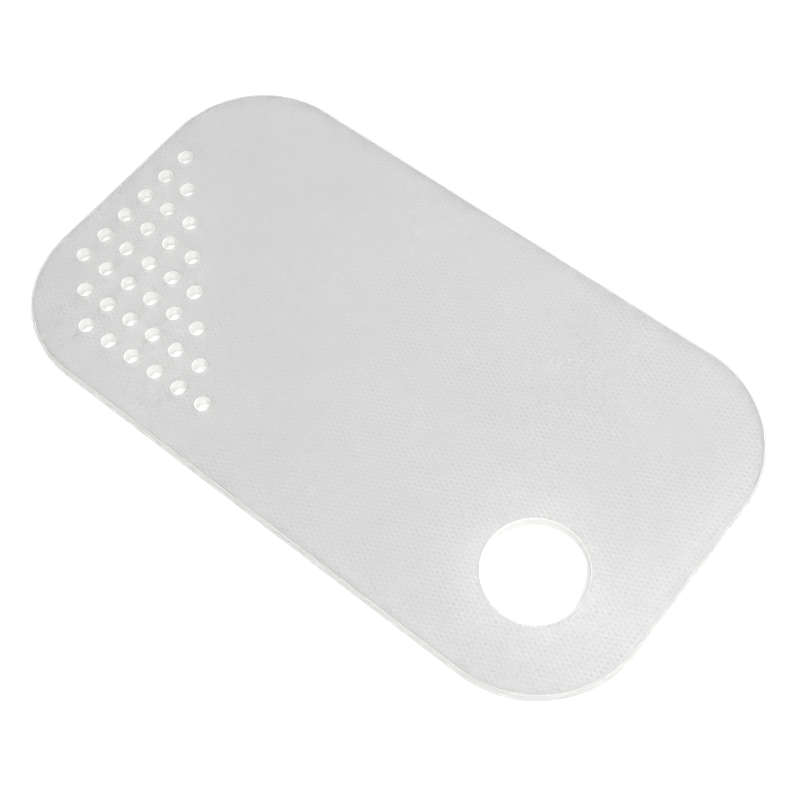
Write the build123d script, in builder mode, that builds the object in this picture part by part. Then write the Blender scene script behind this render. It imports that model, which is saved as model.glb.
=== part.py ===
from build123d import *
from math import cos, hypot, radians, sin
import os

# Flexible cutting mat: one moulded translucent sheet with rounded corners, a round
# finger hole in one corner and a triangle of drain holes in the next one along.
# Lengths are in millimetres. The origin is the middle of the underside, +X runs from
# the drain end to the finger-hole end, -Y is the side with the finger hole, +Z is up.

# The sheet
sheet_length = 228.6
sheet_width = 127.0
sheet_thickness = 4.8
corner_radius = 35.8
edge_rounding = 0.8

# The finger hole, measured from the end and the long side next to it
finger_radius = 15.75
finger_from_end = 36.4
finger_from_side = 37.0
finger_rim_rounding = 0.4

# The drain holes, measured from the drain end and the long side without the finger hole
drain_radius = 2.3
drain_pitch = 9.77
drain_rows = 8
drain_from_end = 10.7
drain_from_side = 43.45
# The rows rise a little towards the finger-hole end, and the columns run straight across
drain_row_slant = 2.3
# A hole whose centre would come nearer to the rounded corner than this is left out
drain_edge_margin = 10.5


def edge_distance(x, y):
    """How far a point of the sheet lies inside the rounded outline."""
    past_x = abs(x) - (sheet_length / 2 - corner_radius)
    past_y = abs(y) - (sheet_width / 2 - corner_radius)
    if past_x > 0 and past_y > 0:
        return corner_radius - hypot(past_x, past_y)
    return corner_radius - max(past_x, past_y)


def drain_places():
    """The centres of the drain holes: row by row, each row one hole longer."""
    first_x = drain_from_end - sheet_length / 2
    first_y = sheet_width / 2 - drain_from_side
    places = []
    for row in range(drain_rows):
        for column in range(row + 1):
            along_row = column * drain_pitch
            x = first_x + along_row * cos(radians(drain_row_slant))
            y = first_y + along_row * sin(radians(drain_row_slant)) - row * drain_pitch
            if edge_distance(x, y) >= drain_edge_margin:
                places.append((x, y))
    return places


with BuildPart() as mat_sheet:
    # A flat slab, rounded all the way round above and below
    with BuildSketch(Plane.XY) as outline:
        RectangleRounded(sheet_length, sheet_width, corner_radius)
    extrude(amount=sheet_thickness)
    fillet(mat_sheet.faces().filter_by(Axis.Z).edges(), edge_rounding)

    # The finger hole, with both rims softened for the fingers
    finger_x = sheet_length / 2 - finger_from_end
    finger_y = finger_from_side - sheet_width / 2
    with Locations((finger_x, finger_y)):
        Hole(finger_radius)
    fillet(mat_sheet.edges(Select.LAST).filter_by(GeomType.CIRCLE), finger_rim_rounding)

    # The drain holes, with crisp rims
    with Locations(*drain_places()):
        Hole(drain_radius)

mat_sheet.part.label = "mat_sheet"

os.makedirs("parts", exist_ok=True)
export_step(mat_sheet.part, "parts/mat_sheet.step")
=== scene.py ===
import math
import bpy
import numpy as np
from mathutils import Matrix, Vector
from mathutils.geometry import delaunay_2d_cdt


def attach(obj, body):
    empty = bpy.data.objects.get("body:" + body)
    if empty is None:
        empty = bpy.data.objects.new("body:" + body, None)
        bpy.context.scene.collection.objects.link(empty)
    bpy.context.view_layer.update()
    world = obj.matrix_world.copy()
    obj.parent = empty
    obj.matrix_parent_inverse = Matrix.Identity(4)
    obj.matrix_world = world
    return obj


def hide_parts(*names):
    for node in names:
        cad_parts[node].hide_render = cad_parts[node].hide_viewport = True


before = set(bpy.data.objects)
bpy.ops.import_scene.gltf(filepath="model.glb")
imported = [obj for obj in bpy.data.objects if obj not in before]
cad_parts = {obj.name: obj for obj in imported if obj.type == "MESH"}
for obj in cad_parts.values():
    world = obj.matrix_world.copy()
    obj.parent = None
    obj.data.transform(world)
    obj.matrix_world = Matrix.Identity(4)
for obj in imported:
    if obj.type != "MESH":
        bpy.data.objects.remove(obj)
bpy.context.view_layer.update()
print("frame loaded:", ", ".join(sorted(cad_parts)))

scene = bpy.context.scene
scene.view_settings.view_transform = "Standard"

# The mat is one mesh: rolled edges, a finger hole, drain holes and a field of raised dots.
# Lengths are in metres, with the underside on the floor.
sheet = {
    "length": 0.2286,
    "width": 0.127,
    "thickness": 0.0048,
    "cornerRadius": 0.0358,
    "topRounding": 0.0008,
    "bottomRounding": 0.0008,
    "roundingSteps": 9,
    "cornerSteps": 26,
    "longSideSteps": 20,
    "shortSideSteps": 7,
}
fingerHole = {
    "centre": (0.0779, -0.0265),
    "radius": 0.01575,
    "rimRounding": 0.0004,
    "roundingSteps": 5,
    "steps": 112,
}
drainHoles = {
    "firstPlace": (-0.1036, 0.02005),
    "pitch": 0.00977,
    "rows": 8,
    "rowSlant": math.radians(2.3),
    "edgeMargin": 0.0105,
    "radius": 0.0023,
    "rimRounding": 0.00016,
    "roundingSteps": 2,
    "steps": 26,
}
dots = {
    "pitch": 0.0015875,           # one sixteenth of an inch
    "phase": (0.00057, -0.0001),
    "radius": 0.00062,
    "height": 0.00014,            # of the crown above the face
    "heightSpread": 0.08,         # how unequal the dots are
    "sides": 7,
    "clearance": 0.00012,         # from a dot's foot to the next edge
    "seed": 11,
}
millimetres = 1000.0              # metres times this, for the triangulation
touching = 1e-9                   # metres
faceHeight = sheet["thickness"] - dots["height"] * (1 + dots["heightSpread"])
onFace, onSide, inFingerHole, inDrainHole, onUnderside = range(5)      # material slots

points, normals, faces, slots = [], [], [], []


def outlineLoop(inset):
    # the rounded rectangle, anticlockwise, with its outward directions
    halfX = sheet["length"] / 2 - sheet["cornerRadius"]
    halfY = sheet["width"] / 2 - sheet["cornerRadius"]
    radius = sheet["cornerRadius"] - inset
    corners = [(halfX, -halfY, -90), (halfX, halfY, 0), (-halfX, halfY, 90), (-halfX, -halfY, 180)]
    sideSteps = [sheet["shortSideSteps"], sheet["longSideSteps"]] * 2
    places, outward = [], []
    for index, (x, y, start) in enumerate(corners):
        for step in range(sheet["cornerSteps"] + 1):
            turn = math.radians(start + 90 * step / sheet["cornerSteps"])
            direction = (math.cos(turn), math.sin(turn))
            places.append((x + radius * direction[0], y + radius * direction[1]))
            outward.append(direction)
        nextX, nextY, _ = corners[(index + 1) % 4]
        for step in range(1, sideSteps[index]):
            share = step / sideSteps[index]
            places.append((x + (nextX - x) * share + radius * direction[0],
                           y + (nextY - y) * share + radius * direction[1]))
            outward.append(direction)
    return np.array(places), np.array(outward)


def holeLoop(centre, radius, steps):
    # clockwise, so that the plastic is on the same side as it is along the outline
    turn = -2 * np.pi * np.arange(steps) / steps
    outward = np.stack([np.cos(turn), np.sin(turn)], 1)
    return np.array(centre) + radius * outward, -outward


def edgeDistance(x, y):
    # how far a point lies inside the rounded outline
    pastX = np.abs(x) - (sheet["length"] / 2 - sheet["cornerRadius"])
    pastY = np.abs(y) - (sheet["width"] / 2 - sheet["cornerRadius"])
    rounded = sheet["cornerRadius"] - np.hypot(pastX, pastY)
    straight = sheet["cornerRadius"] - np.maximum(pastX, pastY)
    return np.where((pastX > 0) & (pastY > 0), rounded, straight)


def drainPlaces():
    # row by row, each row one hole longer, and none too near the rounded corner
    slant = drainHoles["rowSlant"]
    places = []
    for row in range(drainHoles["rows"]):
        for column in range(row + 1):
            along = column * drainHoles["pitch"]
            x = drainHoles["firstPlace"][0] + along * math.cos(slant)
            y = drainHoles["firstPlace"][1] + along * math.sin(slant) - row * drainHoles["pitch"]
            if edgeDistance(x, y) >= drainHoles["edgeMargin"]:
                places.append((x, y))
    return places


def addPoints(places, heights, directions):
    start = sum(len(block) for block in points)
    heights = np.broadcast_to(np.asarray(heights, float), (len(places),))
    points.append(np.column_stack([places, heights]))
    normals.append(np.asarray(directions, float))
    return np.arange(start, start + len(places))


def addWall(loopAt, topRounding, bottomRounding, steps, slot):
    # a side wall that rolls into the face above and the underside below
    rings = []
    for rounding, start, side in ((topRounding, faceHeight, 1), (bottomRounding, 0.0, -1)):
        half = []
        for step in range(steps + 1):
            tilt = math.pi / 2 * step / steps
            half.append((rounding * (1 - math.sin(tilt)), start - side * rounding * (1 - math.cos(tilt)),
                         math.sin(tilt), side * math.cos(tilt)))
        rings += half if side > 0 else half[::-1]
    loops = []
    for inset, height, sideways, upward in rings:
        places, outward = loopAt(inset)
        directions = np.column_stack([outward * sideways, np.full(len(places), upward)])
        loops.append(addPoints(places, height, directions))
    # the rolled edge at the foot has the underside's frost
    for index, (upper, lower) in enumerate(zip(loops, loops[1:])):
        faces.extend(np.column_stack([upper, lower, np.roll(lower, -1), np.roll(upper, -1)]).tolist())
        slots.extend([slot if index <= steps else onUnderside] * len(upper))
    return loops[0], loops[-1]


def dotCentres(circles):
    # staggered rows, wherever a whole dot has room
    pitch = dots["pitch"]
    across = math.ceil(sheet["length"] / 2 / pitch) + 1
    along = math.ceil(sheet["width"] / 2 / pitch) + 1
    column, row = (v.ravel() for v in np.meshgrid(np.arange(-across, across), np.arange(-along, along)))
    x = dots["phase"][0] + column * pitch
    y = dots["phase"][1] + (row + 0.5 * (column % 2)) * pitch
    reach = dots["radius"] + dots["clearance"]
    free = edgeDistance(x, y) > sheet["topRounding"] + reach
    for centre, radius, steps in circles:
        free &= np.hypot(x - centre[0], y - centre[1]) > radius + reach
    return np.column_stack([x[free], y[free]])


def addDots(centres):
    # a ring of points at the foot of each dot and one at its crown
    chance = np.random.default_rng(dots["seed"])
    heights = dots["height"] * (1 + dots["heightSpread"] * chance.uniform(-1, 1, len(centres)))
    spin = chance.uniform(0, 2 * np.pi, len(centres))
    turn = spin[:, None] + 2 * np.pi * np.arange(dots["sides"]) / dots["sides"]
    outward = np.stack([np.cos(turn), np.sin(turn)], 2)
    feet = centres[:, None, :] + dots["radius"] * outward
    tilt = 2 * np.arctan(heights / dots["radius"])[:, None]      # of a dome at its foot
    upward = np.broadcast_to(np.cos(tilt)[:, :, None], outward.shape[:2] + (1,))
    footNormals = np.concatenate([outward * np.sin(tilt)[:, :, None], upward], 2)
    footIndices = addPoints(feet.reshape(-1, 2), faceHeight, footNormals.reshape(-1, 3))
    crowns = addPoints(centres, faceHeight + heights, np.tile([0.0, 0.0, 1.0], (len(centres), 1)))
    return footIndices.reshape(len(centres), dots["sides"]), crowns


def fillFace(loops, rings, crowns, circles, upward):
    # triangles between the loops, with the dots worked in and the holes left open
    allPoints = np.concatenate(points)
    order = np.concatenate(loops + list(rings) + [crowns]).astype(int)
    edges, start = [], 0
    for loop in loops + list(rings):
        ring = np.arange(start, start + len(loop))
        edges.append(np.column_stack([ring, np.roll(ring, -1)]))
        start += len(loop)
    flat = [Vector(place) for place in allPoints[order, :2] * millimetres]
    found = delaunay_2d_cdt(flat, np.concatenate(edges).tolist(), [], 0, touching * millimetres)
    source = np.array([origin[0] for origin in found[3]])
    triangles = order[source[np.array(found[2])]]
    middle = allPoints[triangles, :2].mean(1)
    keep = np.ones(len(triangles), bool)
    for centre, radius, steps in circles:
        keep &= np.hypot(*(middle - centre).T) > radius * math.cos(math.pi / steps) - touching
    triangles = triangles[keep]
    a, b, c = (allPoints[triangles[:, corner], :2] for corner in range(3))
    turning = (b[:, 0] - a[:, 0]) * (c[:, 1] - a[:, 1]) - (b[:, 1] - a[:, 1]) * (c[:, 0] - a[:, 0])
    wrong = (turning > 0) != upward
    triangles[wrong] = triangles[wrong][:, ::-1]
    faces.extend(triangles.tolist())
    slots.extend([onFace if upward else onUnderside] * len(triangles))


def setNormals(mesh, crowns):
    # smooth walls and domes, and flat plastic between the dots
    corners = np.empty(len(mesh.loops), np.int32)
    mesh.loops.foreach_get("vertex_index", corners)
    first = np.empty(len(mesh.polygons), np.int32)
    mesh.polygons.foreach_get("loop_start", first)
    heights = np.concatenate(points)[corners, 2]
    onDot = np.add.reduceat((corners >= crowns[0]).astype(int), first) > 0
    level = np.maximum.reduceat(heights, first) - np.minimum.reduceat(heights, first) < touching
    flat = level & ~onDot
    flatCorner = np.repeat(flat, np.diff(np.append(first, len(corners))))
    under = heights < sheet["thickness"] / 2
    directions = np.concatenate(normals)[corners]
    directions[flatCorner & ~under] = (0, 0, 1)
    directions[flatCorner & under] = (0, 0, -1)
    mesh.normals_split_custom_set(directions.tolist())


def buildSheet():
    drains = drainPlaces()
    top, bottom = addWall(outlineLoop, sheet["topRounding"], sheet["bottomRounding"],
                          sheet["roundingSteps"], onSide)
    topLoops, bottomLoops, circles = [top], [bottom], []
    holes = [(fingerHole, fingerHole["centre"], inFingerHole)]
    holes += [(drainHoles, place, inDrainHole) for place in drains]
    for hole, centre, slot in holes:
        rounding = hole["rimRounding"]
        top, bottom = addWall(lambda inset: holeLoop(centre, hole["radius"] + inset, hole["steps"]),
                              rounding, rounding, hole["roundingSteps"], slot)
        topLoops.append(top)
        bottomLoops.append(bottom)
        circles.append((centre, hole["radius"] + rounding, hole["steps"]))
    centres = dotCentres(circles)
    rings, crowns = addDots(centres)
    fillFace(topLoops, rings, crowns, circles, True)
    fillFace(bottomLoops, [], [], circles, False)

    mesh = bpy.data.meshes.new("cuttingMat")
    mesh.from_pydata(np.concatenate(points).tolist(), [], faces)
    mesh.polygons.foreach_set("use_smooth", [True] * len(mesh.polygons))
    mesh.polygons.foreach_set("material_index", slots)
    mesh.update()
    setNormals(mesh, crowns)
    mesh.update()
    triangleCount = sum(len(face) - 2 for face in faces)
    print("sheet built:", len(drains), "drain holes,", len(centres), "dots,", triangleCount, "triangles")
    return mesh


cuttingMat = bpy.data.objects.new("cuttingMat", buildSheet())
scene.collection.objects.link(cuttingMat)
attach(cuttingMat, "root")
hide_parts("mat_sheet")


# One plastic with five skins: clear over the dots, frosted underneath, and pale on the sides and in the
# holes, where a whiter, creamier colour than the face's is painted light for light glowing through the
# walls. Sizes are in metres, and lightThrough is the share of light that soaks through.
dottedFace = {
    "name": "dottedFace",
    "colour": (0.92, 0.92, 0.92, 1.0),
    "roughness": 0.15,
    "transmission": 0.8,
    "ior": 1.5,
    "scatter": 1.0,
    "scatterReach": 0.006,
    "lightThrough": 0.0,
    "insideLightThrough": 0.0,
    "cloudSize": 0.035, "cloudDepth": 0.03,
    "grainSize": 0.0005, "grainSpread": 0.3, "grainHeight": 0.000004,
    "markLength": 0.018, "markWidth": 0.0003, "markShare": 0.01, "markDirection": 0.6,
    "wearReach": 0.0002, "wornWhiter": 0.02, "wornRougher": 0.05,
}
sideWall = {
    "name": "sideWall",
    # painted light: whiter and creamier than the face, for light glowing through the side walls
    "colour": (0.98, 0.98, 0.965, 1.0),
    "roughness": 0.2,
    "transmission": 0.35,
    "ior": 1.5,
    "scatter": 0.0,
    "scatterReach": 0.003,
    "lightThrough": 0.3,          # as seen from outside
    "insideLightThrough": 0.03,   # as seen through the plastic
    "cloudSize": 0.012, "cloudDepth": 0.03,
    "grainSize": 0.0008, "grainSpread": 0.3, "grainHeight": 0.000005,
    "markLength": 0.004, "markWidth": 0.0004, "markShare": 0.0, "markDirection": 0.0,
    "wearReach": 0.0006, "wornWhiter": 0.1, "wornRougher": 0.1,
}
# painted light: the hole walls are whiter and creamier than the face, for light glowing through them
fingerWall = dict(sideWall, name="fingerWall", colour=(0.96, 0.96, 0.945, 1.0), transmission=0.0,
                  lightThrough=0.25, insideLightThrough=0.85, wearReach=0.0004)
# painted light: the drain-hole walls are the whitest, for the glow inside the small holes
drainWall = dict(fingerWall, name="drainWall", colour=(1.0, 1.0, 0.985, 1.0), lightThrough=0.0,
                 insideLightThrough=0.5, cloudDepth=0.0, wearReach=0.0002)
frostedUnderside = {
    "name": "frostedUnderside",
    "colour": (0.745, 0.745, 0.745, 1.0),
    "roughness": 0.5,
    "transmission": 0.3,
    "ior": 1.5,
    "scatter": 0.0,
    "scatterReach": 0.003,
    "lightThrough": 0.0,
    "insideLightThrough": 0.0,
    "cloudSize": 0.02, "cloudDepth": 0.04,
    "grainSize": 0.0007, "grainSpread": 0.25, "grainHeight": 0.00003,
    "markLength": 0.03, "markWidth": 0.0006, "markShare": 0.02, "markDirection": -0.3,
    "wearReach": 0.0002, "wornWhiter": 0.04, "wornRougher": 0.1,
}

# The noise behind the shader groups
noise = {
    "range": (0.25, 0.75),        # what it gives nearly everywhere
    "middle": 0.5,
    "cloudDetail": 3.0,
    "grainDetail": 2.0,
    "markDetail": 1.0,
    "markEdge": (0.72, 0.75),     # above the first value a mark begins, and at the second it is full
    "patchDetail": 3.0,
    "patchesPerMetre": 250.0,     # of rubbed and unrubbed plastic along the rims
}
white = (1.0, 1.0, 1.0, 1.0)


def placeNode(tree, kind, values, **options):
    node = tree.nodes.new(kind)
    for option, choice in options.items():
        setattr(node, option, choice)
    for socket, value in values.items():
        if isinstance(value, bpy.types.NodeSocket):
            tree.links.new(value, node.inputs[socket])
        else:
            node.inputs[socket].default_value = value
    return node


def calculate(tree, operation, *values):
    node = placeNode(tree, "ShaderNodeMath", dict(enumerate(values)), operation=operation)
    return node.outputs[0]


def startGroup(name, inputs, outputs):
    group = bpy.data.node_groups.new(name, "ShaderNodeTree")
    for label, kind in inputs:
        group.interface.new_socket(label, in_out="INPUT", socket_type="NodeSocket" + kind)
    for label, kind in outputs:
        group.interface.new_socket(label, in_out="OUTPUT", socket_type="NodeSocket" + kind)
    return group, group.nodes.new("NodeGroupInput").outputs, group.nodes.new("NodeGroupOutput").inputs


def makeCloudiness():
    # slow changes in how milky the plastic is
    group, given, result = startGroup(
        "cloudiness", [("Colour", "Color"), ("Cloud Size", "Float"), ("Depth", "Float")],
        [("Colour", "Color")])
    place = placeNode(group, "ShaderNodeTexCoord", {})
    scale = calculate(group, "DIVIDE", 1.0, given["Cloud Size"])
    clouds = placeNode(group, "ShaderNodeTexNoise", {"Vector": place.outputs["Object"], "Scale": scale,
                                                     "Detail": noise["cloudDetail"]})
    lowest = calculate(group, "SUBTRACT", 1.0, given["Depth"])
    level = placeNode(group, "ShaderNodeMapRange", {"Value": clouds.outputs["Fac"],
                                                    "From Min": noise["range"][0],
                                                    "From Max": noise["range"][1], "To Min": lowest})
    tinted = placeNode(group, "ShaderNodeVectorMath", {0: given["Colour"], "Scale": level.outputs[0]},
                       operation="SCALE")
    group.links.new(tinted.outputs[0], result["Colour"])
    return group


def makeGrain():
    # the fine grain that the mould leaves, as a height and an uneven gloss
    group, given, result = startGroup(
        "grain", [("Roughness", "Float"), ("Grain Size", "Float"), ("Spread", "Float")],
        [("Roughness", "Float"), ("Height", "Float")])
    place = placeNode(group, "ShaderNodeTexCoord", {})
    scale = calculate(group, "DIVIDE", 1.0, given["Grain Size"])
    grains = placeNode(group, "ShaderNodeTexNoise", {"Vector": place.outputs["Object"], "Scale": scale,
                                                     "Detail": noise["grainDetail"]})
    about = calculate(group, "SUBTRACT", grains.outputs["Fac"], noise["middle"])
    factor = calculate(group, "MULTIPLY_ADD", about, given["Spread"], 1.0)
    group.links.new(calculate(group, "MULTIPLY", given["Roughness"], factor), result["Roughness"])
    group.links.new(grains.outputs["Fac"], result["Height"])
    return group


def makeMarks():
    # a few faint hairlines from use, all along one direction
    group, given, result = startGroup(
        "marks", [("Length", "Float"), ("Width", "Float"), ("Share", "Float"), ("Direction", "Float")],
        [("Mask", "Float")])
    place = placeNode(group, "ShaderNodeTexCoord", {})
    turned = placeNode(group, "ShaderNodeVectorRotate",
                       {"Vector": place.outputs["Object"], "Angle": given["Direction"]},
                       rotation_type="Z_AXIS")
    along = calculate(group, "DIVIDE", 1.0, given["Length"])
    across = calculate(group, "DIVIDE", 1.0, given["Width"])
    stretch = placeNode(group, "ShaderNodeCombineXYZ", {0: along, 1: across, 2: across})
    stretched = placeNode(group, "ShaderNodeVectorMath", {0: turned.outputs[0], 1: stretch.outputs[0]},
                          operation="MULTIPLY")
    streaks = placeNode(group, "ShaderNodeTexNoise", {"Vector": stretched.outputs[0], "Scale": 1.0,
                                                      "Detail": noise["markDetail"]})
    begins, full = noise["markEdge"]
    mask = placeNode(group, "ShaderNodeMapRange",
                     {"Value": streaks.outputs["Fac"], "From Max": full,
                      "From Min": calculate(group, "SUBTRACT", begins, given["Share"])})
    group.links.new(mask.outputs[0], result["Mask"])
    return group


def makeWear():
    # rubbed rims and marks turn whiter and rougher
    group, given, result = startGroup(
        "wear", [("Colour", "Color"), ("Roughness", "Float"), ("Marks", "Float"), ("Thickness", "Float"),
                 ("Reach", "Float"), ("Whiter", "Float"), ("Rougher", "Float")],
        [("Colour", "Color"), ("Roughness", "Float")])
    place = placeNode(group, "ShaderNodeTexCoord", {})
    parts = placeNode(group, "ShaderNodeSeparateXYZ", {0: place.outputs["Object"]})
    above = calculate(group, "SUBTRACT", given["Thickness"], parts.outputs["Z"])
    nearest = calculate(group, "MINIMUM", above, parts.outputs["Z"])
    rim = placeNode(group, "ShaderNodeMapRange", {"Value": nearest, "From Max": given["Reach"],
                                                  "To Min": 1.0, "To Max": 0.0})
    patches = placeNode(group, "ShaderNodeTexNoise", {"Vector": place.outputs["Object"],
                                                      "Scale": noise["patchesPerMetre"],
                                                      "Detail": noise["patchDetail"]})
    rubbed = calculate(group, "MULTIPLY", rim.outputs[0], patches.outputs["Fac"])
    worn = calculate(group, "MAXIMUM", rubbed, given["Marks"])
    whiter = calculate(group, "MULTIPLY", worn, given["Whiter"])
    # a Mix node's colours are its sockets 6 and 7, and its mixed colour is output 2
    colour = placeNode(group, "ShaderNodeMix", {0: whiter, 6: given["Colour"], 7: white}, data_type="RGBA")
    rougher = calculate(group, "MULTIPLY_ADD", worn, given["Rougher"], given["Roughness"])
    group.links.new(colour.outputs[2], result["Colour"])
    group.links.new(rougher, result["Roughness"])
    return group


cloudiness, grain, marks, wear = makeCloudiness(), makeGrain(), makeMarks(), makeWear()


def makePlastic(settings):
    material = bpy.data.materials.new(settings["name"])
    material.use_nodes = True
    tree = material.node_tree
    cloudy = placeNode(tree, "ShaderNodeGroup",
                       {"Colour": settings["colour"], "Cloud Size": settings["cloudSize"],
                        "Depth": settings["cloudDepth"]}, node_tree=cloudiness)
    grainy = placeNode(tree, "ShaderNodeGroup",
                       {"Roughness": settings["roughness"], "Grain Size": settings["grainSize"],
                        "Spread": settings["grainSpread"]}, node_tree=grain)
    marked = placeNode(tree, "ShaderNodeGroup",
                       {"Length": settings["markLength"], "Width": settings["markWidth"],
                        "Share": settings["markShare"], "Direction": settings["markDirection"]},
                       node_tree=marks)
    worn = placeNode(tree, "ShaderNodeGroup",
                     {"Colour": cloudy.outputs["Colour"], "Roughness": grainy.outputs["Roughness"],
                      "Marks": marked.outputs["Mask"], "Thickness": sheet["thickness"],
                      "Reach": settings["wearReach"], "Whiter": settings["wornWhiter"],
                      "Rougher": settings["wornRougher"]}, node_tree=wear)
    relief = placeNode(tree, "ShaderNodeBump", {"Height": grainy.outputs["Height"],
                                                "Distance": settings["grainHeight"]})
    shader = tree.nodes["Principled BSDF"]
    for socket, value in (("Transmission Weight", settings["transmission"]), ("IOR", settings["ior"]),
                          ("Subsurface Weight", settings["scatter"]), ("Subsurface Radius", (1, 1, 1)),
                          ("Subsurface Scale", settings["scatterReach"])):
        shader.inputs[socket].default_value = value
    tree.links.new(worn.outputs["Colour"], shader.inputs["Base Color"])
    tree.links.new(worn.outputs["Roughness"], shader.inputs["Roughness"])
    tree.links.new(relief.outputs["Normal"], shader.inputs["Normal"])
    if settings["lightThrough"] or settings["insideLightThrough"]:
        through = placeNode(tree, "ShaderNodeBsdfTranslucent", {"Color": worn.outputs["Colour"]})
        side = placeNode(tree, "ShaderNodeNewGeometry", {})
        share = placeNode(tree, "ShaderNodeMapRange", {"Value": side.outputs["Backfacing"],
                                                       "To Min": settings["lightThrough"],
                                                       "To Max": settings["insideLightThrough"]})
        mixed = placeNode(tree, "ShaderNodeMixShader", {"Fac": share.outputs["Result"],
                                                        1: shader.outputs[0], 2: through.outputs[0]})
        tree.links.new(mixed.outputs[0], tree.nodes["Material Output"].inputs["Surface"])
    return material


for settings in (dottedFace, sideWall, fingerWall, drainWall, frostedUnderside):
    cuttingMat.data.materials.append(makePlastic(settings))
print("plastic made")

# Studio: a pale floor, an even world, a lamp to the front right, one behind and a softbox above
studio = {
    "floorColour": (0.85, 0.85, 0.85, 1.0),
    "floorGlow": 0.35,            # only where it is seen directly
    "floorSize": 0.75,            # beyond it the world is just as white
    "floorDrop": 0.00005,
    "worldStrength": 0.27,        # as light on the mat
    "worldSeen": 1.0,             # as background, where 1 is white
}
lamps = {
    "nearLamp": {"place": (0.50, -0.42, 0.73), "size": (0.5, 0.5), "power": 6.0,
                 "colour": (1.0, 0.99, 0.975)},
    "farLamp": {"place": (0.20, 0.72, 0.75), "size": (0.25, 0.25), "power": 4.5,
                "colour": (1.0, 0.98, 0.95)},
    "softbox": {"place": (0.18, 0.40, 1.00), "size": (0.40, 0.50), "power": 2.8,
                "colour": (0.94, 0.97, 1.0)},
}
# The photo's camera: where it stands and which way its picture's right, down and depth run
view = {
    "place": (0.155551, -0.149630, 0.394271),
    "right": (0.77551, 0.62889, -0.05542),
    "down": (0.54053, -0.70677, -0.45640),
    "forward": (-0.32620, 0.32399, -0.88805),
    "lens": 64.54,
    "sensor": 36.0,
    "clip": (0.01, 20.0),
}


def seenDirectly(tree):
    # 1 for what the camera sees straight on, in a gloss or through the plastic, else 0
    path = placeNode(tree, "ShaderNodeLightPath", {})
    total = path.outputs["Is Camera Ray"]
    for ray in ("Is Glossy Ray", "Is Transmission Ray"):
        total = calculate(tree, "MAXIMUM", total, path.outputs[ray])
    return total


def makeFloor():
    bpy.ops.mesh.primitive_plane_add(size=studio["floorSize"], location=(0, 0, -studio["floorDrop"]))
    floor = bpy.context.object
    floor.name = "floor"
    material = bpy.data.materials.new("paleFloor")
    material.use_nodes = True
    tree = material.node_tree
    tree.nodes.clear()
    pale = placeNode(tree, "ShaderNodeBsdfDiffuse", {"Color": studio["floorColour"]})
    level = calculate(tree, "MULTIPLY", seenDirectly(tree), studio["floorGlow"])
    glow = placeNode(tree, "ShaderNodeEmission", {"Strength": level})
    both = placeNode(tree, "ShaderNodeAddShader", {0: pale.outputs[0], 1: glow.outputs[0]})
    placeNode(tree, "ShaderNodeOutputMaterial", {"Surface": both.outputs[0]})
    floor.data.materials.append(material)


def makeWorld():
    world = bpy.data.worlds.new("studio")
    scene.world = world
    world.use_nodes = True
    tree = world.node_tree
    background = tree.nodes["Background"]
    background.inputs["Color"].default_value = white
    level = placeNode(tree, "ShaderNodeMapRange", {"Value": seenDirectly(tree),
                                                   "To Min": studio["worldStrength"],
                                                   "To Max": studio["worldSeen"]})
    tree.links.new(level.outputs["Result"], background.inputs["Strength"])


def addLamp(name, settings):
    lamp = bpy.data.lights.new(name, "AREA")
    lamp.shape = "RECTANGLE"
    lamp.size, lamp.size_y = settings["size"]
    lamp.energy = settings["power"]
    lamp.color = settings["colour"]
    holder = bpy.data.objects.new(name, lamp)
    holder.location = settings["place"]
    holder.rotation_euler = (-Vector(settings["place"])).to_track_quat("-Z", "Y").to_euler()
    scene.collection.objects.link(holder)


def makeCamera():
    camera = bpy.data.cameras.new("camera")
    camera.sensor_fit = "HORIZONTAL"
    camera.sensor_width = view["sensor"]
    camera.lens = view["lens"]
    camera.clip_start, camera.clip_end = view["clip"]
    holder = bpy.data.objects.new("camera", camera)
    turn = Matrix((Vector(view["right"]), -Vector(view["down"]), -Vector(view["forward"])))
    holder.matrix_world = Matrix.Translation(view["place"]) @ turn.transposed().to_4x4()
    scene.collection.objects.link(holder)
    scene.camera = holder


makeFloor()
makeWorld()
for name, settings in lamps.items():
    addLamp(name, settings)
makeCamera()
print("studio made")
